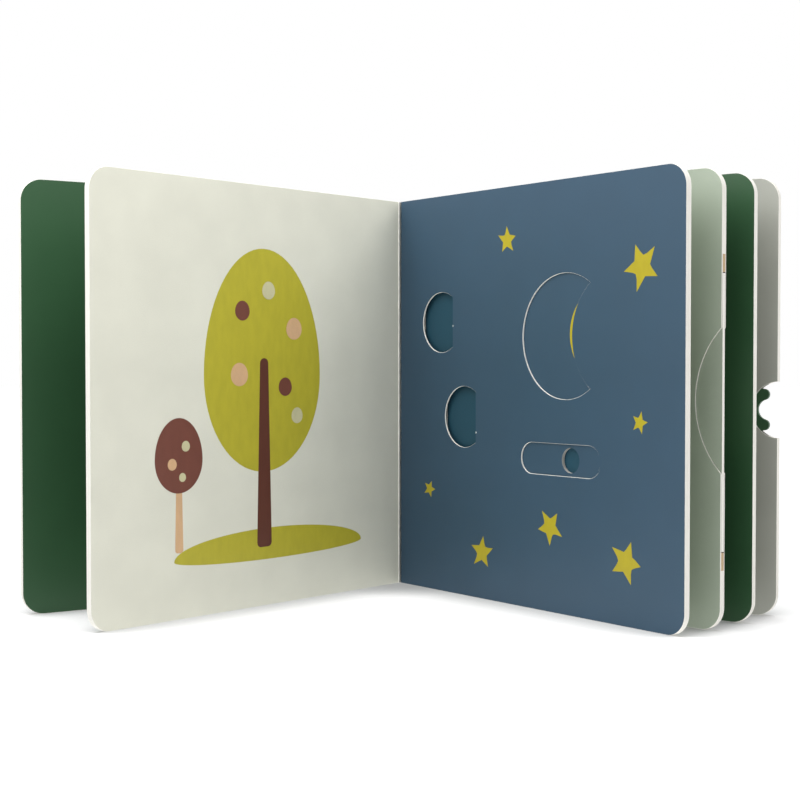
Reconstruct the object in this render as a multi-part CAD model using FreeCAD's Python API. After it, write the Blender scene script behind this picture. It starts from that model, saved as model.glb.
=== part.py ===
import FreeCAD, Part
import math
import os

# A square board book for small children, standing upright on its bottom edges and opened like a
# fan. Sizes are millimetres. Each leaf is drawn flat first: x runs from its hinge to its fore-edge,
# y through its thickness from the face that the reader sees, and z is up. Then it is turned about
# its hinge. The finished book faces -Y, stands on z = 0 and has its origin under its middle.

# Boards
PAGE_W = 200.0
PAGE_H = 200.0
LEAF_T = 3.2
CORNER_R = 10.0
FACE_PLY = 0.7
BACK_PLY = 0.6
CREASE_R = 0.8

# Directions of the leaves, in degrees about the vertical, from +X
FRONT_COVER_TURN = -148.3
LEAF_1_TURN = -131.1
LEAF_2_TURN = -53.2
LEAF_3_TURN = -47.4
LEAF_4_TURN = -40.9
BACK_COVER_TURN = -34.5

# Running clearances of what slides or turns between the plies
FACE_GAP = 0.15
SIDE_GAP = 0.4
HINGE_GAP = 0.3

# Spine strip
SPINE_T = 1.0
SPINE_STANDOFF = 0.5

# Half-round windows of leaf 2: centre from the hinge, and height
HALF_WINDOW_R = 15.2
HALF_WINDOW_SIDE = 8.8
UPPER_HALF_X = 35.7
UPPER_HALF_Z = 136.2
LOWER_HALF_X = 53.8
LOWER_HALF_Z = 89.0

# Crescent window of leaf 2
CRESCENT_X = 126.5
CRESCENT_Z = 128.0
CRESCENT_OUTER_R = 29.0
CRESCENT_INNER_R = 30.2
CRESCENT_OFFSET = 34.8

# Finger slot of leaf 2 and the slider behind it
FINGER_X = 129.6
FINGER_Z = 71.1
FINGER_R = 5.8
SLOT_R = 7.4
SLIDE_LEFT = 25.6
SLIDE_RIGHT = 12.6
SLIDER_LAP = 3.0
SLIDER_SETBACK = 0.6

# Pull-out panel of leaf 3, its rails, its stop and the thumb notch at the fore-edge
PANEL_Z = 94.4
PANEL_H = 120.0
PANEL_L = 150.0
RAIL_W = 7.7
POCKET_BACK = 30.0
PANEL_TRAVEL = 100.0
STOP_R = 5.6
STOP_INSET = 28.0
PANEL_NOTCH_R = 43.0
PANEL_NOTCH_DEPTH = 13.6
PANEL_NOTCH_Z = 99.6

# Picture wheel in the back cover, its hub, its window and its thumb notch
WHEEL_R = 65.05
WHEEL_INSET = 3.9
WHEEL_Z = 94.4
LOBE_COUNT = 28
HOLLOW_R = 4.7
HOLLOW_DEPTH = 5.75
HUB_R = 9.0
HUB_GAP = 0.3
VIEW_R = 18.0
VIEW_RISE = 36.0
THUMB_R = 13.0
THUMB_OUTSET = 0.7

CUT = 1.0

POCKET_Y = FACE_PLY
POCKET_T = LEAF_T - FACE_PLY - BACK_PLY
INSERT_Y = POCKET_Y + FACE_GAP
INSERT_T = POCKET_T - 2 * FACE_GAP


def vec(x, y, z=0.0):
    return FreeCAD.Vector(x, y, z)


def along(turn):
    """The direction from a hinge to the fore-edge."""
    return vec(math.cos(math.radians(turn)), math.sin(math.radians(turn)))


def across(turn):
    """The direction through a leaf, from its front face to its back on the right-hand side."""
    return vec(-math.sin(math.radians(turn)), math.cos(math.radians(turn)))


def turned(shape, hinge, turn):
    placed = shape.copy()
    placed.rotate(vec(0, 0), vec(0, 0, 1), turn)
    placed.translate(hinge)
    return placed


def plate(edges, y, thickness):
    """A flat piece from its outline in the plane of the leaf."""
    face = Part.Face(Part.Wire(edges))
    piece = face.extrude(vec(0, thickness))
    piece.translate(vec(0, y))
    return piece


def lines(points):
    """Straight edges round a closed outline, each point as x and height."""
    corners = [vec(x, 0, z) for x, z in points]
    return [Part.makeLine(a, b) for a, b in zip(corners, corners[1:] + corners[:1])]


def arc(centre_x, centre_z, radius, start, end):
    """An edge round a centre, from one angle to another, in degrees from +X towards +Z."""
    def point(angle):
        a = math.radians(angle)
        return vec(centre_x + radius * math.cos(a), 0, centre_z + radius * math.sin(a))

    return Part.Arc(point(start), point((start + end) / 2), point(end)).toShape()


def block(x0, x1, z0, z1, y, thickness):
    return Part.makeBox(x1 - x0, thickness, z1 - z0, vec(x0, y, z0))


def disc(x, z, radius, y, thickness):
    return Part.makeCylinder(radius, thickness, vec(x, y, z), vec(0, 1))


def obround(x0, x1, z, radius, y, thickness):
    """A slot with round ends, centred at x0 and x1."""
    ends = disc(x0, z, radius, y, thickness).fuse(disc(x1, z, radius, y, thickness))
    return ends.fuse(block(x0, x1, z - radius, z + radius, y, thickness))


def post(point, radius, bottom=0.0, height=PAGE_H):
    return Part.makeCylinder(radius, height, vec(point.x, point.y, bottom), vec(0, 0, 1))


def board(y):
    """One leaf's board, its thickness from y, square at the hinge and rounded at the fore-edge."""
    straight_x = PAGE_W - CORNER_R
    straight_z = PAGE_H - CORNER_R
    outline = [
        Part.makeLine(vec(0, 0, 0), vec(straight_x, 0, 0)),
        arc(straight_x, CORNER_R, CORNER_R, -90, 0),
        Part.makeLine(vec(PAGE_W, 0, CORNER_R), vec(PAGE_W, 0, straight_z)),
        arc(straight_x, straight_z, CORNER_R, 0, 90),
        Part.makeLine(vec(straight_x, 0, PAGE_H), vec(0, 0, PAGE_H)),
        Part.makeLine(vec(0, 0, PAGE_H), vec(0, 0, 0)),
    ]
    return plate(outline, y, LEAF_T)


def half_window(x, z):
    """A round hole with one straight side, cut down to the back ply."""
    hole = disc(x, z, HALF_WINDOW_R, -CUT, CUT + POCKET_Y + POCKET_T)
    side = x + HALF_WINDOW_SIDE
    past = block(side, side + HALF_WINDOW_R, z - HALF_WINDOW_R, z + HALF_WINDOW_R,
                 -2 * CUT, 3 * CUT + LEAF_T)
    return hole.cut(past)


def crescent_window():
    outer = disc(CRESCENT_X, CRESCENT_Z, CRESCENT_OUTER_R, -CUT, CUT + POCKET_Y)
    inner = disc(CRESCENT_X + CRESCENT_OFFSET, CRESCENT_Z, CRESCENT_INNER_R,
                 -2 * CUT, 3 * CUT + POCKET_Y)
    return outer.cut(inner)


def finger_slot():
    return obround(FINGER_X - SLIDE_LEFT, FINGER_X + SLIDE_RIGHT, FINGER_Z, SLOT_R,
                   -CUT, CUT + POCKET_Y)


def slider_edges():
    """The slider's edges: left ones behind each half-round window, right one, bottom, top, step."""
    upper_left = UPPER_HALF_X + HALF_WINDOW_SIDE + SLIDER_SETBACK
    lower_left = LOWER_HALF_X + HALF_WINDOW_SIDE + SLIDER_SETBACK
    right = FINGER_X + SLIDE_RIGHT + SLOT_R + SLIDE_LEFT + SLIDER_LAP
    bottom = FINGER_Z - SLOT_R - SLIDER_LAP
    top = CRESCENT_Z + CRESCENT_OUTER_R + SLIDER_LAP
    step = (UPPER_HALF_Z + LOWER_HALF_Z) / 2
    return upper_left, lower_left, right, bottom, top, step


def stepped_plate(left_by, right_by, side_by, y, thickness):
    """The slider's outline, grown to the left, to the right and up and down."""
    upper_left, lower_left, right, bottom, top, step = slider_edges()
    corners = [
        (lower_left - left_by, bottom - side_by),
        (right + right_by, bottom - side_by),
        (right + right_by, top + side_by),
        (upper_left - left_by, top + side_by),
        (upper_left - left_by, step - side_by),
        (lower_left - left_by, step - side_by),
    ]
    return plate(lines(corners), y, thickness)


def moon_slider():
    """The card that a finger pushes along behind leaf 2's windows."""
    hole = disc(FINGER_X, FINGER_Z, FINGER_R, INSERT_Y - CUT, INSERT_T + 2 * CUT)
    return stepped_plate(0, 0, 0, INSERT_Y, INSERT_T).cut(hole)


def leaf_2():
    pocket = stepped_plate(SLIDE_LEFT + SIDE_GAP, SLIDE_RIGHT + SIDE_GAP, SIDE_GAP,
                           POCKET_Y, POCKET_T)
    cuts = [pocket, half_window(UPPER_HALF_X, UPPER_HALF_Z),
            half_window(LOWER_HALF_X, LOWER_HALF_Z), crescent_window(), finger_slot()]
    return board(0).cut(cuts)


def panel_notch():
    """The wide finger notch through both plies, where the panel's end shows."""
    centre = PAGE_W + PANEL_NOTCH_R - PANEL_NOTCH_DEPTH
    return disc(centre, PANEL_NOTCH_Z, PANEL_NOTCH_R, -CUT, LEAF_T + 2 * CUT)


def leaf_3():
    half = PANEL_H / 2 + SIDE_GAP + RAIL_W
    pocket = block(POCKET_BACK, PAGE_W + CUT, PANEL_Z - half, PANEL_Z + half, POCKET_Y, POCKET_T)
    return board(0).cut([pocket, panel_notch()])


def guide_rail(side):
    """A strip of brown board that guides one edge of the panel: side is 1 above and -1 below."""
    near = PANEL_Z + side * (PANEL_H / 2 + SIDE_GAP)
    far = near + side * RAIL_W
    return block(POCKET_BACK, PAGE_W, min(near, far), max(near, far), POCKET_Y, POCKET_T)


def stop_x():
    return PAGE_W - STOP_INSET


def pull_out_panel():
    sheet = block(PAGE_W - PANEL_L, PAGE_W, PANEL_Z - PANEL_H / 2, PANEL_Z + PANEL_H / 2,
                  INSERT_Y, INSERT_T)
    slot = obround(stop_x() - PANEL_TRAVEL, stop_x(), PANEL_Z, STOP_R + SIDE_GAP,
                   INSERT_Y - CUT, INSERT_T + 2 * CUT)
    return sheet.cut(slot)


def panel_stop():
    """The card disc, glued between the plies, that keeps the panel from coming right out."""
    return disc(stop_x(), PANEL_Z, STOP_R, POCKET_Y, POCKET_T)


def wheel_x():
    return PAGE_W - WHEEL_INSET - WHEEL_R


def picture_wheel():
    """The scalloped disc: round hollows joined by round lobes that they touch smoothly."""
    half_pitch = 180.0 / LOBE_COUNT
    hollow_circle = WHEEL_R - HOLLOW_DEPTH + HOLLOW_R
    reach = hollow_circle * math.cos(math.radians(half_pitch))
    lobe_r = (hollow_circle ** 2 + WHEEL_R ** 2 - 2 * WHEEL_R * reach - HOLLOW_R ** 2)
    lobe_r = lobe_r / (2 * (HOLLOW_R + WHEEL_R - reach))
    lobe_circle = WHEEL_R - lobe_r

    def on_circle(radius, angle):
        a = math.radians(angle)
        return vec(wheel_x() + radius * math.cos(a), 0, WHEEL_Z + radius * math.sin(a))

    def touch(hollow_angle, lobe_angle):
        hollow = on_circle(hollow_circle, hollow_angle)
        lobe = on_circle(lobe_circle, lobe_angle)
        return hollow + (lobe - hollow) * (HOLLOW_R / (HOLLOW_R + lobe_r))

    outline = []
    for n in range(LOBE_COUNT):
        hollow = 2 * half_pitch * n
        lobe = hollow + half_pitch
        bottom = on_circle(WHEEL_R - HOLLOW_DEPTH, hollow)
        tip = on_circle(WHEEL_R, lobe)
        before = touch(hollow, lobe - 2 * half_pitch)
        between = touch(hollow, lobe)
        after = touch(lobe + half_pitch, lobe)
        outline.append(Part.Arc(before, bottom, between).toShape())
        outline.append(Part.Arc(between, tip, after).toShape())
    hole = disc(wheel_x(), WHEEL_Z, HUB_R + HUB_GAP, INSERT_Y - CUT, INSERT_T + 2 * CUT)
    return plate(outline, INSERT_Y, INSERT_T).cut(hole)


def wheel_hub():
    """The card disc between the plies that the wheel turns on."""
    return disc(wheel_x(), WHEEL_Z, HUB_R, POCKET_Y, POCKET_T)


def hinge_relief():
    """Room in a cover's corner for the crease that it turns on."""
    return post(vec(0, 0), CREASE_R + HINGE_GAP, -CUT, PAGE_H + 2 * CUT)


def front_cover():
    return board(-LEAF_T).cut(hinge_relief())


def back_cover():
    pocket = disc(wheel_x(), WHEEL_Z, WHEEL_R + SIDE_GAP, POCKET_Y, POCKET_T)
    thumb = disc(PAGE_W + THUMB_OUTSET, WHEEL_Z, THUMB_R, -CUT, LEAF_T + 2 * CUT)
    view = disc(wheel_x(), WHEEL_Z + VIEW_RISE, VIEW_R, -CUT, CUT + FACE_PLY)
    return board(0).cut([pocket, thumb, view, hinge_relief()])


def hinges():
    """Where each leaf turns: each crease is one leaf's thickness from the one before it."""
    gutter = vec(0, 0)
    front = gutter - across(LEAF_1_TURN) * LEAF_T
    second = gutter + across(LEAF_2_TURN) * LEAF_T
    third = second + across(LEAF_3_TURN) * LEAF_T
    back = third + across(LEAF_4_TURN) * LEAF_T
    return front, gutter, second, third, back


def page_block():
    """The four inner leaves, glued into one block with a pressed crease at each fold."""
    front, gutter, second, third, back = hinges()
    leaves = [
        turned(board(-LEAF_T), gutter, LEAF_1_TURN),
        turned(leaf_2(), gutter, LEAF_2_TURN),
        turned(leaf_3(), second, LEAF_3_TURN),
        turned(board(0), third, LEAF_4_TURN),
    ]
    creases = [post(point, CREASE_R) for point in hinges()]
    return leaves[0].fuse(leaves[1:] + creases).removeSplitter()


def spine(covers):
    """The cover's spine strip, as long as the closed book is thick, so it bows out when opened."""
    front, gutter, second, third, back = hinges()
    start = front - across(FRONT_COVER_TURN) * LEAF_T
    end = back + across(BACK_COVER_TURN) * LEAF_T
    chord = (end - start).Length
    length = 6 * LEAF_T
    low, high = 0.01, math.pi - 0.01
    for _ in range(60):
        half = (low + high) / 2
        if math.sin(half) / half > chord / length:
            low = half
        else:
            high = half
    radius = chord / (2 * math.sin(half))
    outward = vec(-(end - start).y, (end - start).x).normalize()
    centre = (start + end) * 0.5 - outward * (radius * math.cos(half))
    height = PAGE_H - 2 * SPINE_STANDOFF

    def at(point, shift):
        away = vec(point.x - centre.x, point.y - centre.y).normalize()
        return vec(point.x, point.y, SPINE_STANDOFF) + away * shift

    crown = centre + outward * radius
    outline = [
        Part.Arc(at(start, 0), at(crown, 0), at(end, 0)).toShape(),
        Part.makeLine(at(end, 0), at(end, -SPINE_T)),
        Part.Arc(at(end, -SPINE_T), at(crown, -SPINE_T), at(start, -SPINE_T)).toShape(),
        Part.makeLine(at(start, -SPINE_T), at(start, 0)),
    ]
    strip = Part.Face(Part.Wire(outline)).extrude(vec(0, 0, height))
    folds = [post(point, CREASE_R, SPINE_STANDOFF, height) for point in (start, end)]
    return strip.fuse(folds).cut(covers).removeSplitter()


def model():
    front, gutter, second, third, back = hinges()
    covers = {
        "front_cover": turned(front_cover(), front, FRONT_COVER_TURN),
        "back_cover": turned(back_cover(), back, BACK_COVER_TURN),
    }
    parts = {
        "page_block": page_block(),
        "moon_slider": turned(moon_slider(), gutter, LEAF_2_TURN),
        "pull_out_panel": turned(pull_out_panel(), second, LEAF_3_TURN),
        "panel_stop": turned(panel_stop(), second, LEAF_3_TURN),
        "guide_rail_upper": turned(guide_rail(1), second, LEAF_3_TURN),
        "guide_rail_lower": turned(guide_rail(-1), second, LEAF_3_TURN),
        "picture_wheel": turned(picture_wheel(), back, BACK_COVER_TURN),
        "wheel_hub": turned(wheel_hub(), back, BACK_COVER_TURN),
        "spine": spine(list(covers.values())),
    }
    parts.update(covers)
    box = Part.makeCompound(list(parts.values())).BoundBox
    to_origin = vec(-box.Center.x, -box.Center.y, -box.ZMin)
    for shape in parts.values():
        shape.translate(to_origin)
    return parts, to_origin


PARTS, TO_ORIGIN = model()
os.makedirs("parts", exist_ok=True)
for name, shape in PARTS.items():
    shape.exportStep(os.path.join("parts", name + ".step"))
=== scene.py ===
import math
import bpy
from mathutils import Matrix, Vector


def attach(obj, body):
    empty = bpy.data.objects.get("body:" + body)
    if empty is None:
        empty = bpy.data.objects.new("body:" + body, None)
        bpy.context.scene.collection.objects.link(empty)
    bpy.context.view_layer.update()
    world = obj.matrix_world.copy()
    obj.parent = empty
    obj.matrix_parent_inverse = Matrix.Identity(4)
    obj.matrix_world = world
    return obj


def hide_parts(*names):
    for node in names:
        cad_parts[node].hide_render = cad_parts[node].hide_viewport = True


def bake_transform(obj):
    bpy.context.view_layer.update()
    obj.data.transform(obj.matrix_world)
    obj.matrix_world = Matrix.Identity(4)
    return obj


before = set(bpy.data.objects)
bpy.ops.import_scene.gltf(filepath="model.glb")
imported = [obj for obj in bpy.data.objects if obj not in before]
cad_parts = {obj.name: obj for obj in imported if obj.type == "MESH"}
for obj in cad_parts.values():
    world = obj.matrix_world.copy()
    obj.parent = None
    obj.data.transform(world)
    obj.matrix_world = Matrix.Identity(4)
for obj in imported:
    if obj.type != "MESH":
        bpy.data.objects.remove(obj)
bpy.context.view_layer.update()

# Camera: it stands a little over half a page above the table, in front of the gutter, and looks
# down by a degree and a half, as the photograph does.
bpy.ops.object.camera_add(location=(0.00033, -0.71369, 0.11627),
                          rotation=(math.radians(88.542), 0, 0))
camera = bpy.context.object
camera.data.lens = 67.41
camera.data.shift_x = 0.0007
bpy.context.scene.camera = camera
bpy.context.scene.view_settings.view_transform = "Standard"


# Studio: the table is a wide white sheet. The camera sees it a little brighter than it is lit, so
# that it is plain white. Close to the book it keeps the lamps' shadow, and a soft contact shadow is
# painted onto what the camera sees of it. Five square lamps hang round the book: one near above
# it, one high in front, one at each side and a low one on the left.
class Socket:
    """One output in a material, so that sums on it are written as plain sums."""

    def __init__(self, tree, output):
        self.tree = tree
        self.output = output

    def node(self, kind, settings, sockets, out=0):
        """Any node: its type, its settings, the values or links of its sockets, the output used."""
        made = self.tree.nodes.new(kind)
        for name, value in settings.items():
            setattr(made, name, value)
        for name, value in sockets.items():
            if isinstance(value, Socket):
                self.tree.links.new(value.output, made.inputs[name])
            else:
                made.inputs[name].default_value = value
        return Socket(self.tree, made.outputs[out])

    def sum(self, operation, *values):
        return self.node("ShaderNodeMath", {"operation": operation}, dict(enumerate(values)))

    def __add__(self, other):
        return self.sum("ADD", self, other)

    def __sub__(self, other):
        return self.sum("SUBTRACT", self, other)

    def __rsub__(self, other):
        return self.sum("SUBTRACT", other, self)

    def __mul__(self, other):
        return self.sum("MULTIPLY", self, other)

    def __abs__(self):
        return self.sum("ABSOLUTE", self)

    __radd__ = __add__
    __rmul__ = __mul__


SKY_LIGHT = 0.06
SHEET_GREY = (0.50, 0.50, 0.50, 1)
SHEET_LIFT = 0.75
SHEET_GLOW = 0.72
SHEET_PAINTED_SHADOW_REACH = 0.045
LAMPS = (("near_overhead_lamp", (-0.07, -0.09, 0.47), 0.45, 1.6),
         ("high_lamp", (0, -0.5, 1.3), 1.5, 3.6),
         ("left_lamp", (-0.6, -0.25, 0.72), 0.7, 4.4),
         ("right_lamp", (0.9, -0.2, 0.95), 0.9, 8.0),
         ("low_left_lamp", (-1.2, -0.45, 0.35), 0.9, 0.9))
LAMPS_AIM = Vector((0, 0, 0.1))

bpy.ops.object.select_all(action="DESELECT")
bpy.ops.mesh.primitive_plane_add(size=12)
floor = bpy.context.object
floor.name = "white_sheet"
floor.data.materials.append(bpy.data.materials.new("white_sheet"))
floor.data.materials[0].use_nodes = True
tree = floor.data.materials[0].node_tree
sheet = tree.nodes["Principled BSDF"]
sheet.inputs["Base Color"].default_value = SHEET_GREY
sheet.inputs["Roughness"].default_value = 1.0
sheet.inputs["Specular IOR Level"].default_value = 0.0
sheet.inputs["Emission Color"].default_value = (1, 1, 1, 1)
path = tree.nodes.new("ShaderNodeLightPath")
seen = Socket(tree, path.outputs["Is Camera Ray"])
glossy = Socket(tree, path.outputs["Is Glossy Ray"])
lit = Socket(tree, path.outputs["Is Diffuse Ray"])
spot = Socket(tree, tree.nodes.new("ShaderNodeTexCoord").outputs["Object"])
away = spot.node("ShaderNodeVectorMath", {"operation": "LENGTH"}, {0: spot}, out=1)
far = away.node("ShaderNodeMapRange", {"interpolation_type": "SMOOTHSTEP"},
                {"Value": away, "From Min": 0.3, "From Max": 0.9})
# Painted shadow: ambient occlusion within a few centimetres darkens what the camera and reflections
# see of the sheet, as a contact shadow round the book.
open_sky = Socket(tree, tree.nodes.new("ShaderNodeAmbientOcclusion").outputs["AO"])
open_sky.output.node.inputs["Distance"].default_value = SHEET_PAINTED_SHADOW_REACH
painted_contact_shade = open_sky.node("ShaderNodeMapRange", {"interpolation_type": "SMOOTHSTEP"},
                      {"Value": open_sky, "From Min": 0.35, "From Max": 1.0, "To Min": 0.1})
shown = seen.sum("MAXIMUM", seen, glossy) * (far * (1 - SHEET_LIFT) + SHEET_LIFT) * painted_contact_shade
tree.links.new((shown + lit * SHEET_GLOW).output, sheet.inputs["Emission Strength"])

studio = bpy.data.worlds.new("studio")
studio.use_nodes = True
bpy.context.scene.world = studio
tree = studio.node_tree
path = tree.nodes.new("ShaderNodeLightPath")
seen = Socket(tree, path.outputs["Is Camera Ray"])
glossy = Socket(tree, path.outputs["Is Glossy Ray"])
through = Socket(tree, path.outputs["Is Transmission Ray"])
shown = seen.sum("MAXIMUM", seen, seen.sum("MAXIMUM", glossy, through))
tree.nodes["Background"].inputs["Color"].default_value = (1, 1, 1, 1)
tree.links.new((shown * (1 - SKY_LIGHT) + SKY_LIGHT).output,
               tree.nodes["Background"].inputs["Strength"])

for name, place, size, power in LAMPS:
    bpy.ops.object.light_add(type="AREA", location=place)
    lamp = bpy.context.object
    lamp.name = name
    lamp.data.shape = "SQUARE"
    lamp.data.size = size
    lamp.data.energy = power
    lamp.rotation_euler = (LAMPS_AIM - Vector(place)).to_track_quat("-Z", "Y").to_euler()

# Cream leaf: the left page of the open spread. It is white board, printed on both sides, with
# two die-cut round corners. Its other side faces the front cover and is dark green.
MM = 0.001
PAGE = 200
THICK = 3.2
CORNER = 10
EDGE_ROUND = 0.22
CREAM_LEAF = ((0.302, 73.723), -131.1)
CREAM = (0.74, 0.735, 0.625, 1)
DEEP_GREEN = (0.032, 0.098, 0.040, 1)
BOARD_WHITE = (0.94, 0.925, 0.875, 1)
BOARD_SHADE = (0.80, 0.775, 0.70, 1)
SEAM_BROWN = (0.50, 0.44, 0.34, 1)
PAPER_SHINE = 0.35
FILM = 0.18
FILM_ROUGHNESS = 0.35


def only(piece):
    bpy.ops.object.select_all(action="DESELECT")
    piece.select_set(True)
    bpy.context.view_layer.objects.active = piece


def pick(piece, kind, wanted):
    """Opens a piece for editing with those faces or edges selected that pass a test of their
    middle, in millimetres, and their direction."""
    only(piece)
    bpy.ops.object.mode_set(mode="EDIT")
    bpy.ops.mesh.select_mode(type=kind)
    bpy.ops.mesh.select_all(action="DESELECT")
    bpy.ops.object.mode_set(mode="OBJECT")
    points = piece.data.vertices
    if kind == "FACE":
        for face in piece.data.polygons:
            face.select = wanted(face.center / MM, face.normal)
    elif kind == "EDGE":
        for edge in piece.data.edges:
            a, b = (points[n].co for n in edge.vertices)
            edge.select = wanted((a + b) / 2 / MM, (b - a).normalized())
    else:
        for point in points:
            point.select = wanted(point.co / MM, point.normal)
    bpy.ops.object.mode_set(mode="EDIT")


def shut():
    bpy.ops.object.mode_set(mode="OBJECT")


def slab(x0, x1, z0, z1, near, far):
    """A block on a leaf laid flat: from the hinge, from the bottom edge, through its thickness."""
    bpy.ops.object.select_all(action="DESELECT")
    bpy.ops.mesh.primitive_cube_add(
        size=MM, location=((x0 + x1) / 2 * MM, (near + far) / 2 * MM, (z0 + z1) / 2 * MM),
        scale=(x1 - x0, far - near, z1 - z0))
    bpy.ops.object.transform_apply(location=True, rotation=True, scale=True)
    return bpy.context.object


def soften(piece, wanted, width, segments=2):
    pick(piece, "EDGE", wanted)
    bpy.ops.mesh.bevel(offset=width * MM, segments=segments, affect="EDGES")
    shut()


def board(name, near):
    """A leaf's board, laid flat, with its fore-edge corners and its cut edges rounded."""
    piece = slab(0, PAGE, 0, PAGE, near, near + THICK)
    piece.name = name
    soften(piece, lambda middle, way: abs(way.y) > 0.9 and middle.x > 1, CORNER, 16)
    soften(piece, lambda middle, way: abs(way.y) < 0.1 and middle.x > 1, EDGE_ROUND)
    return piece


def new_finish(name, leaf):
    """A new material, and the place of its points on the leaf laid flat, in millimetres."""
    (hinge_x, hinge_y), turn = leaf
    material = bpy.data.materials.new(name)
    material.use_nodes = True
    tree = material.node_tree
    start = Socket(tree, tree.nodes.new("ShaderNodeTexCoord").outputs["Object"])
    place = start.node("ShaderNodeMapping", {"vector_type": "TEXTURE"}, {
        "Vector": start, "Location": (hinge_x * MM, hinge_y * MM, 0),
        "Rotation": (0, 0, math.radians(turn)), "Scale": (MM, MM, MM)})
    return material, place


def split(place):
    axes = place.node("ShaderNodeSeparateXYZ", {}, {0: place}).output.node
    return [Socket(place.tree, axes.outputs[n]) for n in range(3)]


def noise(place, scale, stretch=(1, 1, 1)):
    pulled = place.node("ShaderNodeVectorMath", {"operation": "MULTIPLY"}, {0: place, 1: stretch})
    return place.node("ShaderNodeTexNoise", {}, {"Vector": pulled, "Scale": scale, "Detail": 3.0})


def step(value, low, high):
    return value.node("ShaderNodeMapRange", {"interpolation_type": "SMOOTHSTEP"},
                      {"Value": value, "From Min": low, "From Max": high})


def mix(mask, without, within):
    return mask.node("ShaderNodeMix", {"data_type": "RGBA"}, {0: mask, 6: without, 7: within},
                     out=2)


def dress(material, colour, roughness, relief, depth, film=0.0, shine=PAPER_SHINE):
    """Joins what varies to the material's shader. The relief's depth is in millimetres, and the
    film is the clear laminate over printed paper."""
    tree = material.node_tree
    shader = tree.nodes["Principled BSDF"]
    shader.inputs["Specular IOR Level"].default_value = shine
    shader.inputs["Coat Weight"].default_value = film
    shader.inputs["Coat Roughness"].default_value = FILM_ROUGHNESS
    bump = relief.node("ShaderNodeBump", {}, {"Height": relief, "Distance": depth * MM})
    for name, socket in (("Base Color", colour), ("Roughness", roughness), ("Normal", bump)):
        tree.links.new(socket.output, shader.inputs[name])
    return material


def toned(colour, factor):
    return tuple(min(1, c * factor) for c in colour[:3]) + (1,)


def printed(name, leaf, colour, marks=(), film=FILM, shine=PAPER_SHINE):
    """Matt ink on coated paper, glued over the board: a fine tooth, a slight cloud in the ink, and
    a rub mark along the die-cut outline. Marks are more inks, or painted shade, each with the mask
    that it fills."""
    material, place = new_finish(name, leaf)
    x, y, z = split(place)
    tooth = noise(place, 2.6)
    cloud = noise(place, 0.04)
    shade = mix(step(tooth * 0.55 + cloud * 0.45, 0.32, 0.68), toned(colour, 0.95),
                toned(colour, 1.05))
    for mask, ink in marks:
        shade = mix(mask(x, z), shade, ink)
    past_x = x - (PAGE - CORNER)
    past_z = abs(z - PAGE / 2) - (PAGE / 2 - CORNER)
    out_x = x.sum("MAXIMUM", past_x, 0)
    out_z = x.sum("MAXIMUM", past_z, 0)
    round_part = x.sum("SQRT", out_x * out_x + out_z * out_z)
    inset = round_part + x.sum("MINIMUM", x.sum("MAXIMUM", past_x, past_z), 0) - CORNER
    rub = step(inset, -0.6, 0.0) * step(noise(place, 1.5), 0.5, 0.65) * 0.12
    shade = mix(rub, shade, BOARD_WHITE)
    relief = tooth + noise(place, 0.5) * 0.6
    return dress(material, shade, 0.40 + tooth * 0.10, relief, 0.010, film, shine)


def cut_board(name, leaf, seams, painted_shade_factor=1.0):
    """The cut edge of white board, with its pressed layers and the glue lines between its plies."""
    material, place = new_finish(name, leaf)
    x, y, z = split(place)
    layers = noise(place, 1.0, (0.12, 7, 0.12))
    speck = noise(place, 3.5)
    # A factor below 1 darkens the whole cut edge: painted shade.
    shade = mix(step(layers * 0.6 + speck * 0.4, 0.25, 0.7), toned(BOARD_SHADE, painted_shade_factor),
                toned(BOARD_WHITE, painted_shade_factor))
    for seam in seams:
        line = 1 - step(abs(y + (noise(place, 0.15) - 0.5) * 0.1 - seam), 0.03, 0.14)
        shade = mix(line * 0.3, shade, SEAM_BROWN)
    return dress(material, shade, 0.72 + speck * 0.15, layers + speck, 0.03, shine=0.3)


def cover_faces(piece, edge, *finishes):
    """The cut edge's finish all over, then each finish on the flat faces that look its way at its
    depth in the board, or on the walls round that depth where its side is 0. Smooth shading
    follows, which the flat faces don't bend."""
    piece.data.materials.append(edge)
    for number, (material, side, depth) in enumerate(finishes):
        piece.data.materials.append(material)
        for face in piece.data.polygons:
            facing = face.normal.y * side > 0.8 if side else abs(face.normal.y) < 0.1
            if facing and abs(face.center.y / MM - depth) < (0.1 if side else 0.03):
                face.material_index = number + 1
    only(piece)
    bpy.ops.object.shade_smooth_by_angle(angle=math.radians(35))
    piece.modifiers.new("even", "WEIGHTED_NORMAL").keep_sharp = True
    bpy.ops.object.modifier_apply(modifier="even")


def lay(piece, leaf):
    """Takes a piece from the leaf laid flat to its place in the open book."""
    (hinge_x, hinge_y), turn = leaf
    only(piece)
    piece.location = (hinge_x * MM, hinge_y * MM, 0)
    piece.rotation_euler = (0, 0, math.radians(turn))
    bpy.ops.object.transform_apply(location=True, rotation=True, scale=True)


def settle(piece, leaf, body, slot, *nodes):
    lay(piece, leaf)
    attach(piece, body)
    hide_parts(*nodes)


cream_leaf = board("cream_leaf", -THICK)
cover_faces(cream_leaf, cut_board("cream_leaf_edge", CREAM_LEAF, [-THICK / 2]),
            (printed("cream_print", CREAM_LEAF, CREAM), 1, 0),
            (printed("cream_leaf_back_print", CREAM_LEAF, DEEP_GREEN), -1, -THICK))
settle(cream_leaf, CREAM_LEAF, "pages", "page_board", "page_block")

# Garden picture on the cream leaf: flat fields of ink with soft hand-drawn outlines, a broad tree
# with round fruit, a small tree beside it and a low mound.
CHARTREUSE = (0.47, 0.42, 0.030, 1)
TREE_BROWN = (0.115, 0.034, 0.018, 1)
RUST = (0.17, 0.055, 0.035, 1)
TAN = (0.66, 0.42, 0.23, 1)
PALE = (0.58, 0.55, 0.33, 1)
INK = 0.03


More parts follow.
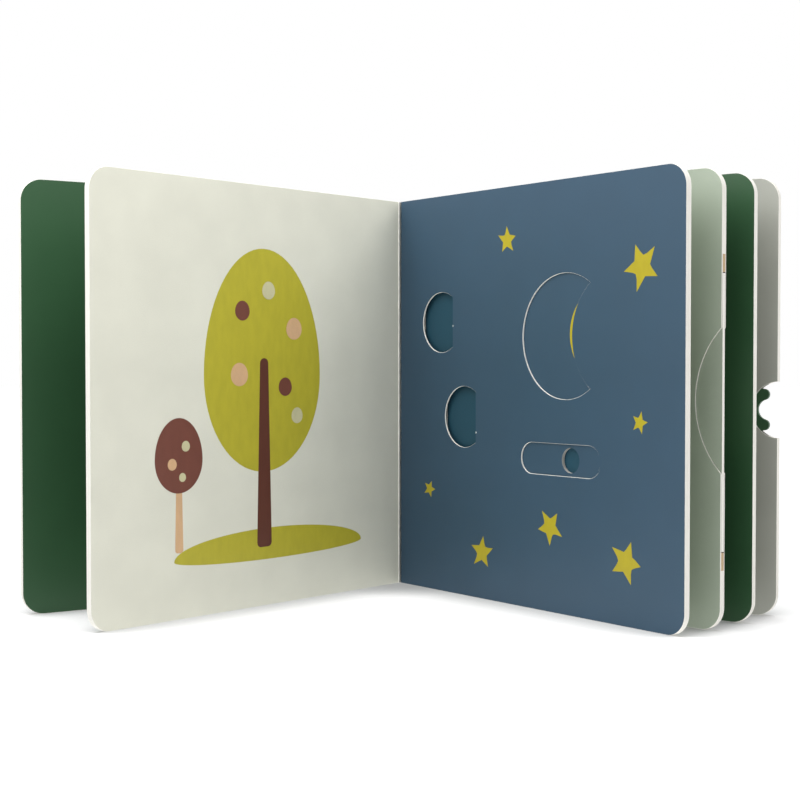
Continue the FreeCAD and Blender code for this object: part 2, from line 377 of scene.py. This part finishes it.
def ink_finish(name, leaf, colour):
    material, place = new_finish(name, leaf)
    tooth = noise(place, 2.6)
    brushed = noise(place, 0.25, (1, 1, 0.4))
    shade = mix(step(tooth * 0.4 + brushed * 0.6, 0.3, 0.7), toned(colour, 0.93),
                toned(colour, 1.06))
    return dress(material, shade, 0.40 + tooth * 0.10, tooth, 0.010, FILM)


def blob(x, z, half_width, up, down, side, lift, finish, points=72):
    """A round field of ink: side is 1 on a left leaf's page and -1 on a right leaf's."""
    bpy.ops.object.select_all(action="DESELECT")
    bpy.ops.mesh.primitive_circle_add(vertices=points, radius=half_width * MM, fill_type="NGON",
                                      location=(x * MM, side * lift * MM, z * MM),
                                      rotation=(math.radians(90), 0, 0))
    piece = bpy.context.object
    bpy.ops.object.transform_apply(location=True, rotation=True, scale=True)
    for above, reach in ((1, up), (-1, down)):
        pick(piece, "VERT", lambda at, way: (at.z - z) * above > 0.001)
        bpy.ops.transform.resize(value=(1, 1, reach / half_width),
                                 center_override=(x * MM, 0, z * MM))
        shut()
    return raise_ink(piece, side, finish)


def raise_ink(piece, side, finish):
    """Gives a flat field its film of ink, closed all round and sunk a little into the paper."""
    pick(piece, "FACE", lambda middle, way: True)
    bpy.ops.mesh.extrude_region_move(TRANSFORM_OT_translate={"value": (0, -2 * side * INK * MM, 0)})
    bpy.ops.mesh.select_all(action="SELECT")
    bpy.ops.mesh.normals_make_consistent(inside=False)
    shut()
    piece.data.materials.append(finish)
    return piece


def join(name, parts):
    only(parts[0])
    for part in parts:
        part.select_set(True)
    bpy.ops.object.join()
    parts[0].name = name
    return parts[0]


def trunk(x, bottom, top, half_width, taper, finish, lift):
    """A tapered upright with rounded ends."""
    piece = slab(x - half_width, x + half_width, bottom, top, lift - 2 * INK, lift)
    pick(piece, "FACE", lambda middle, way: way.z > 0.9)
    bpy.ops.transform.resize(value=(taper, 1, 1), center_override=(x * MM, 0, top * MM))
    shut()
    soften(piece, lambda middle, way: abs(way.y) > 0.9, half_width * taper * 0.9, 6)
    piece.data.materials.append(finish)
    return piece


leaf_ink = ink_finish("chartreuse_ink", CREAM_LEAF, CHARTREUSE)
bark_ink = ink_finish("brown_ink", CREAM_LEAF, TREE_BROWN)
rust_ink = ink_finish("rust_ink", CREAM_LEAF, RUST)
tan_ink = ink_finish("tan_ink", CREAM_LEAF, TAN)
pale_ink = ink_finish("pale_ink", CREAM_LEAF, PALE)
garden = [blob(92, 26, 62, 11, 4, 1, INK, leaf_ink),
          blob(98, 110, 38, 60, 46, 1, INK, leaf_ink),
          trunk(98, 28, 118, 4.8, 0.55, bark_ink, 2 * INK),
          trunk(151, 30, 62, 2.4, 0.7, tan_ink, 2 * INK),
          blob(151, 72, 14, 19, 15, 1, 3 * INK, rust_ink)]
for x, z, size, finish in ((78, 132, 5.2, tan_ink), (112, 140, 4.6, rust_ink),
                           (84, 104, 4.4, rust_ink), (114, 110, 5.4, tan_ink),
                           (95, 150, 4.2, pale_ink), (76, 90, 3.8, pale_ink),
                           (147, 78, 2.4, pale_ink), (155, 70, 2.6, tan_ink),
                           (149, 64, 2.0, pale_ink)):
    garden.append(blob(x, z, size, size * 1.08, size * 0.95, 1, 4 * INK, finish, 40))
garden = join("garden_print", garden)
lay(garden, CREAM_LEAF)
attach(garden, "pages")

# Blue leaf: the right page of the open spread. Its front ply has four die-cut windows, and the
# middle ply is cut away behind them for the slider, so that the back ply shows at the bottom.
BLUE_LEAF = ((0.302, 73.723), -53.2)
BLUE = (0.0240, 0.0645, 0.1105, 1)
TEAL = (0.019, 0.066, 0.100, 1)
SAGE = (0.43, 0.49, 0.395, 1)
SHADED_GREY_BOARD = (0.040, 0.037, 0.032, 1)
FRONT_PLY = 0.7
POCKET_END = 2.6
HALF_ROUNDS = ((35.7, 136.2), (53.8, 89.0))
HALF_ROUND_R = 15.2
HALF_ROUND_SIDE = 8.8
CRESCENT = (126.5, 128.0, 29.0)
CRESCENT_BITE = (161.3, 128.0, 30.2)
FINGER = (129.6, 71.1)
SLOT_R = 7.4
SLIDE_LEFT = 25.6
SLIDE_RIGHT = 12.6
SIDE_GAP = 0.4
RIM = 0.12
GUTTER_GROOVE_R = 1.3


def drum(x, z, radius, near, far, points=128):
    """A round block through a leaf laid flat."""
    bpy.ops.object.select_all(action="DESELECT")
    bpy.ops.mesh.primitive_cylinder_add(
        vertices=points, radius=radius * MM, depth=(far - near) * MM,
        location=(x * MM, (near + far) / 2 * MM, z * MM), rotation=(math.radians(90), 0, 0))
    bpy.ops.object.transform_apply(location=True, rotation=True, scale=True)
    return bpy.context.object


def cut(piece, *cutters):
    for cutter in cutters:
        only(piece)
        knife = piece.modifiers.new("cut", "BOOLEAN")
        knife.operation = "DIFFERENCE"
        knife.solver = "EXACT"
        knife.object = cutter
        bpy.ops.object.modifier_apply(modifier="cut")
        bpy.data.objects.remove(cutter)
    return piece


def crease_groove(piece, radius):
    """Room along the hinge corner of a board for the pressed fold."""
    bpy.ops.object.select_all(action="DESELECT")
    bpy.ops.mesh.primitive_cylinder_add(vertices=48, radius=radius * MM, depth=(PAGE + 2) * MM,
                                        location=(0, 0, PAGE / 2 * MM))
    bpy.ops.object.transform_apply(location=True, rotation=True, scale=True)
    return cut(piece, bpy.context.object)


def half_round(x, z):
    piece = drum(x, z, HALF_ROUND_R, -1, POCKET_END)
    pick(piece, "FACE", lambda middle, way: True)
    bpy.ops.mesh.bisect(plane_co=((x + HALF_ROUND_SIDE) * MM, 0, 0), plane_no=(1, 0, 0),
                        use_fill=True, clear_outer=True)
    shut()
    return piece


def stepped(left_by, right_by, side_by, near, far):
    """The slider's outline, whose left edge steps from one half-round window to the other."""
    upper_left, lower_left, right = 45.1, 63.2, 178.2
    bottom, middle_z, top = 60.7, 112.6, 160.0
    piece = slab(lower_left - left_by, right + right_by, bottom - side_by, middle_z - side_by,
                 near, far)
    pick(piece, "FACE", lambda middle, way: way.z > 0.9)
    rise = top - middle_z + 2 * side_by
    bpy.ops.mesh.extrude_region_move(TRANSFORM_OT_translate={"value": (0, 0, rise * MM)})
    shut()
    pick(piece, "FACE", lambda middle, way: way.x < -0.9 and middle.z > middle_z)
    bpy.ops.mesh.extrude_region_move(
        TRANSFORM_OT_translate={"value": ((upper_left - lower_left) * MM, 0, 0)})
    shut()
    return piece


def obround(x0, x1, z, radius, near, far):
    piece = slab(x0 - radius, x1 + radius, z - radius, z + radius, near, far)
    soften(piece, lambda middle, way: abs(way.y) > 0.9, radius * 0.9995, 24)
    return piece


def rim(piece, wanted, width):
    """The worn white rim of a die-cut window: its sharp edges that pass the test are broken."""
    only(piece)
    bpy.ops.object.mode_set(mode="EDIT")
    bpy.ops.mesh.select_mode(type="EDGE")
    bpy.ops.mesh.select_all(action="DESELECT")
    bpy.ops.mesh.edges_select_sharp(sharpness=math.radians(60))
    shut()
    points = piece.data.vertices
    for edge in piece.data.edges:
        a, b = (points[n].co for n in edge.vertices)
        edge.select = edge.select and wanted((a + b) / 2 / MM, (b - a).normalized())
    bpy.ops.object.mode_set(mode="EDIT")
    bpy.ops.mesh.bevel(offset=width * MM, segments=1, affect="EDGES")
    shut()


def raw_board_in_painted_shade(name, leaf):
    """The unprinted inner side of a ply: grey board made of waste paper, painted near black as the
    shade deep in a pocket.
    """
    material, place = new_finish(name, leaf)
    pulp = noise(place, 0.9)
    speck = noise(place, 4.0)
    shade = mix(step(pulp * 0.5 + speck * 0.5, 0.3, 0.7), toned(SHADED_GREY_BOARD, 0.8),
                toned(SHADED_GREY_BOARD, 1.2))
    return dress(material, shade, 0.80 + speck * 0.15, speck, 0.02, shine=0.1)


def disc_mask(centre_x, centre_z, radius):
    """A mask that is 1 inside a circle on the leaf."""
    def mask(x, z):
        far = x.sum("SQRT", (x - centre_x) * (x - centre_x) + (z - centre_z) * (z - centre_z))
        return 1 - step(far, radius - 0.08, radius + 0.08)
    return mask


blue_leaf = crease_groove(board("blue_leaf", 0), GUTTER_GROOVE_R)
cut(blue_leaf,
    stepped(SLIDE_LEFT + SIDE_GAP, SLIDE_RIGHT + SIDE_GAP, SIDE_GAP, FRONT_PLY, POCKET_END),
    half_round(*HALF_ROUNDS[0]), half_round(*HALF_ROUNDS[1]),
    cut(drum(*CRESCENT, -1, FRONT_PLY + 0.1), drum(*CRESCENT_BITE, -2, 3)),
    obround(FINGER[0] - SLIDE_LEFT, FINGER[0] + SLIDE_RIGHT, FINGER[1], SLOT_R,
            -1, FRONT_PLY + 0.1))
rim(blue_leaf,
    lambda middle, way: abs(middle.y) < 0.01 and 15 < middle.x < 150 and 55 < middle.z < 165, RIM)
# Die-cut nicks in white board, and painted shade: a dark band of the blue along the hinge, where
# the gutter lies in shadow.
nicks_and_gutter_shade = [(disc_mask(44.6, 134.3, 0.5), BOARD_WHITE), (disc_mask(62.9, 81.5, 0.45), BOARD_WHITE),
         (disc_mask(141.9, 104.6, 0.4), BOARD_WHITE),
         (lambda x, z: 1 - step(x, 1.5, 1.7), toned(BLUE, 0.25))]
# The slider pocket's walls and the underside of its front ply: grey board painted near black, as
# painted shade in the pocket.
slider_pocket = raw_board_in_painted_shade("slider_pocket_board", BLUE_LEAF)
cover_faces(blue_leaf, cut_board("blue_leaf_edge", BLUE_LEAF, [THICK / 2]),
            (slider_pocket, 1, FRONT_PLY), (slider_pocket, 0, (FRONT_PLY + POCKET_END) / 2),
            (printed("blue_print", BLUE_LEAF, BLUE, nicks_and_gutter_shade), -1, 0),
            (printed("pocket_print", BLUE_LEAF, TEAL, film=0.0, shine=0.15), -1, POCKET_END),
            (printed("blue_leaf_back_print", BLUE_LEAF, SAGE), 1, THICK))
settle(blue_leaf, BLUE_LEAF, "pages", "page_board", "page_block")

# Stars on the blue leaf: seven five-pointed stars in yellow ink, cut one by one, so that no two are
# quite alike. The one nearest the corner has a blunted point.
STAR_YELLOW = (0.41, 0.34, 0.008, 1)
star_ink = ink_finish("yellow_ink", BLUE_LEAF, STAR_YELLOW)
stars = []
for number, (x, z, reach, turn) in enumerate(((86.1, 174.5, 6.8, 90), (174.6, 157.6, 10.9, -101),
                                              (173.7, 89.9, 5.0, 2), (25.9, 51.3, 4.7, -3),
                                              (67.7, 22.9, 8.5, 86), (116.6, 39.6, 8.8, -93),
                                              (165.7, 28.4, 10.2, -3))):
    bpy.ops.object.select_all(action="DESELECT")
    bpy.ops.mesh.primitive_circle_add(vertices=20, radius=MM, fill_type="NGON")
    star = bpy.context.object
    for spot, point in enumerate(star.data.vertices):
        tip = (spot // 4 + number) % 5
        length = (1.0, 0.57, 0.45, 0.57)[spot % 4] * reach
        if spot % 4 == 0:
            length *= (1.0, 1.05, 0.96, 1.02, 0.94)[tip]
        if number == 6 and spot == 0:
            length *= 0.85
        lean = (3, -4, 2, 4, -3)[tip] if spot % 4 == 0 else 0
        angle = math.radians(18 * spot + lean + turn)
        point.co = ((x + length * math.cos(angle)) * MM, -INK * MM,
                    (z + length * math.sin(angle)) * MM)
    stars.append(raise_ink(star, -1, star_ink))
stars = join("star_print", stars)
lay(stars, BLUE_LEAF)
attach(stars, "pages")

# Moon slider: a thin card behind the blue leaf's windows, moved by the finger hole in it. Its face
# is blue like the page, with a yellow disc that fills the crescent and a small one for each
# half-round window when it is pushed across.
CARD_GAP = 0.15
FINGER_R = 5.8
MOON = (149.9, 128.9, 21)
WINDOW_DISC_R = 8.5
moon_slider = stepped(0, 0, 0, FRONT_PLY + CARD_GAP, POCKET_END - CARD_GAP)
moon_slider.name = "moon_slider_card"
cut(moon_slider, drum(FINGER[0], FINGER[1], FINGER_R, 0, 3, 96))
soften(moon_slider, lambda middle, way: abs(way.y) > 0.9 and (middle.x > 177 or middle.x < 64),
       1.5, 4)
moon = [(disc_mask(*MOON), STAR_YELLOW)]
for x, z in HALF_ROUNDS:
    moon.append((disc_mask(x + SLIDE_LEFT, z, WINDOW_DISC_R), STAR_YELLOW))
# The slider's cut edges, round its finger hole too, are darkened to half as painted shade, for the
# shadow deep in the hole.
cover_faces(moon_slider, cut_board("slider_edge", BLUE_LEAF, [], 0.5),
            (printed("slider_print", BLUE_LEAF, BLUE, moon), -1, FRONT_PLY + CARD_GAP))
settle(moon_slider, BLUE_LEAF, "moon_slider", "slider_card", "moon_slider")

# Sage leaf: two plies with the pull-out panel and its two rails between them, open at the
# fore-edge. A wide shallow notch through both plies lets a finger take hold of the panel.
SAGE_LEAF = ((2.865, 75.640), -47.4)
PANEL_Z = 94.4
PANEL_HALF = 60
RAIL_W = 7.7
NOTCH = (229.4, 99.6, 43)
sage_leaf = board("sage_leaf", 0)
rail_far = PANEL_HALF + SIDE_GAP + RAIL_W
cut(sage_leaf, slab(30, PAGE + 1, PANEL_Z - rail_far, PANEL_Z + rail_far, FRONT_PLY, POCKET_END),
    drum(*NOTCH, -1, THICK + 1, 256))
# The panel pocket's ceiling and floor: grey board painted near black, as painted shade.
panel_pocket = raw_board_in_painted_shade("panel_pocket_board", SAGE_LEAF)
cover_faces(sage_leaf, cut_board("sage_leaf_edge", SAGE_LEAF, [THICK / 2]),
            (panel_pocket, 1, FRONT_PLY), (panel_pocket, -1, POCKET_END),
            (printed("sage_print", SAGE_LEAF, SAGE), -1, 0),
            (printed("sage_leaf_back_print", SAGE_LEAF, DEEP_GREEN), 1, THICK))
settle(sage_leaf, SAGE_LEAF, "pages", "page_board", "page_block")

# Pull-out panel: a card as high as the space between the rails, printed sage on its face. The long
# slot in it runs over the card stop that is glued between the plies.
PANEL_INNER_END = 50
PANEL_SLOT = (72, 172)
PANEL_SLOT_R = 6.0
panel = slab(PANEL_INNER_END, PAGE, PANEL_Z - PANEL_HALF, PANEL_Z + PANEL_HALF,
             FRONT_PLY + CARD_GAP, POCKET_END - CARD_GAP)
panel.name = "sage_panel"
cut(panel, obround(*PANEL_SLOT, PANEL_Z, PANEL_SLOT_R, 0, 3))
soften(panel, lambda middle, way: abs(way.y) > 0.9 and middle.x < PANEL_INNER_END + 1, 3, 6)
cover_faces(panel, cut_board("panel_edge", SAGE_LEAF, []),
            (printed("panel_print", SAGE_LEAF, SAGE), -1, FRONT_PLY + CARD_GAP))
settle(panel, SAGE_LEAF, "pull_out_panel", "panel_card", "pull_out_panel")

# Guide rails, stop and hub: strips of brown board whose ends show at the sage leaf's fore-edge,
# and two plain card discs that stay hidden between the plies.
KRAFT = (0.44, 0.30, 0.17, 1)
KRAFT_LIGHT = (0.62, 0.47, 0.30, 1)
kraft, place = new_finish("kraft_board", SAGE_LEAF)
fibres = noise(place, 1.4, (0.3, 5, 0.3))
dress(kraft, mix(step(fibres, 0.35, 0.65), KRAFT, KRAFT_LIGHT), 0.75 + fibres * 0.15, fibres,
      0.04)
for name in ("guide_rail_upper", "guide_rail_lower"):
    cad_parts[name].data.materials[0] = kraft
plain_card = cut_board("plain_card", SAGE_LEAF, [])
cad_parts["panel_stop"].data.materials[0] = plain_card
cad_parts["wheel_hub"].data.materials[0] = plain_card

# Green leaf: the last inner leaf, dark green in front and warm grey behind, where it faces the
# back cover.
GREEN_LEAF = ((5.220, 77.806), -40.9)
GREY = (0.45, 0.46, 0.41, 1)
green_leaf = board("green_leaf", 0)
cover_faces(green_leaf, cut_board("green_leaf_edge", GREEN_LEAF, [THICK / 2]),
            (printed("green_print", GREEN_LEAF, DEEP_GREEN), -1, 0),
            (printed("green_leaf_back_print", GREEN_LEAF, GREY), 1, THICK))
settle(green_leaf, GREEN_LEAF, "pages", "page_board", "page_block")

# Front cover: the same board, dark green inside and out. A groove along its hinge corner leaves
# room for the crease that it turns on.
FRONT_COVER = ((-2.1092, 75.8263), -148.3)
COVER_GROOVE_R = 1.1
front_cover = crease_groove(board("front_cover_board", -THICK), COVER_GROOVE_R)
cover_faces(front_cover, cut_board("front_cover_edge", FRONT_COVER, [-THICK / 2]),
            (printed("front_cover_inside", FRONT_COVER, DEEP_GREEN), 1, 0),
            (printed("front_cover_outside", FRONT_COVER, DEEP_GREEN), -1, -THICK))
settle(front_cover, FRONT_COVER, "front_cover", "front_cover_board", "front_cover")

# Back cover: warm grey inside, with a round pocket between its plies for the picture wheel, a
# round window onto it, and a thumb notch right through at the fore-edge.
BACK_COVER = ((7.3152, 80.2243), -34.5)
WHEEL_R = 65.05
WHEEL_X = PAGE - 3.9 - WHEEL_R
WHEEL_Z = 94.4
THUMB_NOTCH = (200.7, WHEEL_Z, 13)
FIELD_R = 36
WINDOW_R = 18
back_cover = crease_groove(board("back_cover_board", 0), COVER_GROOVE_R)
cut(back_cover, drum(WHEEL_X, WHEEL_Z, WHEEL_R + SIDE_GAP, FRONT_PLY, POCKET_END, 256),
    drum(*THUMB_NOTCH, -1, THICK + 1),
    drum(WHEEL_X, WHEEL_Z + FIELD_R, WINDOW_R, -1, FRONT_PLY + 0.1))
# The ceiling of the wheel pocket: grey board painted near black, as painted shade.
cover_faces(back_cover, cut_board("back_cover_edge", BACK_COVER, [THICK / 2]),
            (raw_board_in_painted_shade("wheel_pocket_board", BACK_COVER), 1, FRONT_PLY),
            (printed("back_cover_inside", BACK_COVER, GREY), -1, 0),
            (printed("wheel_pocket", BACK_COVER, GREY), -1, POCKET_END),
            (printed("back_cover_outside", BACK_COVER, DEEP_GREEN), 1, THICK))
settle(back_cover, BACK_COVER, "back_cover", "back_cover_board", "back_cover")

# Picture wheel: a card disc with a scalloped rim, dark green, with six fields of colour that pass
# the round window in turn, each with a round spot in it.
wheel_green, place = new_finish("wheel_print", BACK_COVER)
x, y, z = split(place)
x = x - WHEEL_X
z = z - WHEEL_Z
far = x.sum("SQRT", x * x + z * z)
angle = x.sum("ARCTAN2", x, z)
tooth = noise(place, 2.6)
shade = mix(step(tooth, 0.32, 0.68), toned(DEEP_GREEN, 0.94), toned(DEEP_GREEN, 1.05))
ring = step(far, 15.5, 15.8) * (1 - step(far, 56.2, 56.5))
for number, (field, spot) in enumerate(((CHARTREUSE, TREE_BROWN), (BLUE, STAR_YELLOW),
                                        (CREAM, RUST), (SAGE, DEEP_GREEN), (TAN, CREAM),
                                        (GREY, BLUE))):
    apart = abs(angle.sum("WRAP", angle - math.radians(60 * number), math.pi, -math.pi))
    wedge = (1 - step(apart, math.radians(29.8), math.radians(30.0))) * ring
    spot_x = FIELD_R * math.sin(math.radians(60 * number))
    spot_z = FIELD_R * math.cos(math.radians(60 * number))
    shade = mix(wedge, shade, field)
    shade = mix(disc_mask(spot_x, spot_z, 10)(x, z), shade, spot)
front_side = 1 - step(y, FRONT_PLY + CARD_GAP + 0.02, FRONT_PLY + CARD_GAP + 0.05)
shade = mix(front_side, DEEP_GREEN, shade)
dress(wheel_green, shade, 0.40 + tooth * 0.10, tooth, 0.010, FILM)
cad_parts["picture_wheel"].data.materials[0] = wheel_green

# Creases: the printed sheets run on from leaf to leaf, and are pressed to a narrow rounded fold at
# each hinge. The ink is worn to white there, apart from the blue on its own side of the gutter,
# which is darkened to a third as painted shade deep in the gutter.
BEAD_R = 0.8
creases = []
for (x, y), _ in (FRONT_COVER, BLUE_LEAF, SAGE_LEAF, GREEN_LEAF, BACK_COVER):
    bpy.ops.object.select_all(action="DESELECT")
    bpy.ops.mesh.primitive_cylinder_add(vertices=32, radius=BEAD_R * MM, depth=PAGE * MM,
                                        location=(x * MM, y * MM, PAGE / 2 * MM))
    bpy.ops.object.transform_apply(location=True, rotation=True, scale=True)
    crease = bpy.context.object
    soften(crease, lambda middle, way: abs(way.z) < 0.1, 0.25, 3)
    creases.append(crease)
creases = join("page_creases", creases)
fold_finish, place = new_finish("fold_paper", CREAM_LEAF)
worn = noise(place, 1.6, (1, 1, 0.25))
x, y, z = split(place)
# The blue side of each fold: blue ink darkened as painted shade.
blue_ink_in_painted_shade = step(y, 0.50, 0.58) * step(x, 0.0, 0.05)
fold = mix(step(worn, 0.35, 0.7), toned(BOARD_WHITE, 0.95), toned(BOARD_WHITE, 0.78))
dress(fold_finish, mix(blue_ink_in_painted_shade, fold, toned(BLUE, 0.3)), 0.6 + worn * 0.2, worn, 0.03)
creases.data.materials.append(fold_finish)
only(creases)
bpy.ops.object.shade_smooth_by_angle(angle=math.radians(40))
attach(creases, "pages")
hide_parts("page_block")

# Spine: a strip of the cover's board that joins both covers with a pressed fold at each, bowed out
# because the book is open. It is made as two halves that meet at the crown, each running from the
# crown to its own cover's fold.
SPINE_CENTRE = (3.0723, 79.4957)
SPINE_R = 6.928
SPINE_HALF_ANGLE = 79.394
SPINE_CROWN = 108.461
SPINE_T = 1.0
spine_print = printed("spine_print", ((0, 0), 0), DEEP_GREEN)
for name, cover, sign in (("spine_front_half", "front_cover", 1),
                          ("spine_back_half", "back_cover", -1)):
    angle = math.radians(SPINE_CROWN)
    middle = SPINE_R - SPINE_T / 2
    bpy.ops.object.select_all(action="DESELECT")
    bpy.ops.mesh.primitive_plane_add(
        size=MM, location=((SPINE_CENTRE[0] + middle * math.cos(angle)) * MM,
                           (SPINE_CENTRE[1] + middle * math.sin(angle)) * MM, PAGE / 2 * MM),
        rotation=(math.radians(90), 0, angle))
    half = bpy.context.object
    half.name = name
    half.scale = (SPINE_T, PAGE - 1, 1)
    bpy.ops.object.transform_apply(location=True, rotation=True, scale=True)
    pick(half, "FACE", lambda middle, way: True)
    bpy.ops.mesh.spin(steps=28, angle=math.radians(sign * SPINE_HALF_ANGLE), axis=(0, 0, -1),
                      center=(SPINE_CENTRE[0] * MM, SPINE_CENTRE[1] * MM, 0))
    bpy.ops.mesh.select_all(action="SELECT")
    bpy.ops.mesh.remove_doubles(threshold=0.00001)
    bpy.ops.mesh.normals_make_consistent(inside=False)
    shut()
    end = math.radians(SPINE_CROWN + sign * SPINE_HALF_ANGLE)
    fold_x = SPINE_CENTRE[0] + SPINE_R * math.cos(end)
    fold_y = SPINE_CENTRE[1] + SPINE_R * math.sin(end)
    bpy.ops.object.select_all(action="DESELECT")
    bpy.ops.mesh.primitive_cylinder_add(vertices=32, radius=BEAD_R * MM, depth=(PAGE - 1) * MM,
                                        location=(fold_x * MM, fold_y * MM, PAGE / 2 * MM))
    bpy.ops.object.transform_apply(location=True, rotation=True, scale=True)
    fold = bpy.context.object
    only(half)
    weld = half.modifiers.new("weld", "BOOLEAN")
    weld.operation = "UNION"
    weld.solver = "EXACT"
    weld.object = fold
    bpy.ops.object.modifier_apply(modifier="weld")
    bpy.data.objects.remove(fold)
    half.data.materials.append(spine_print)
    only(half)
    bpy.ops.object.shade_smooth_by_angle(angle=math.radians(40))
    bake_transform(half)
    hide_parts("spine")
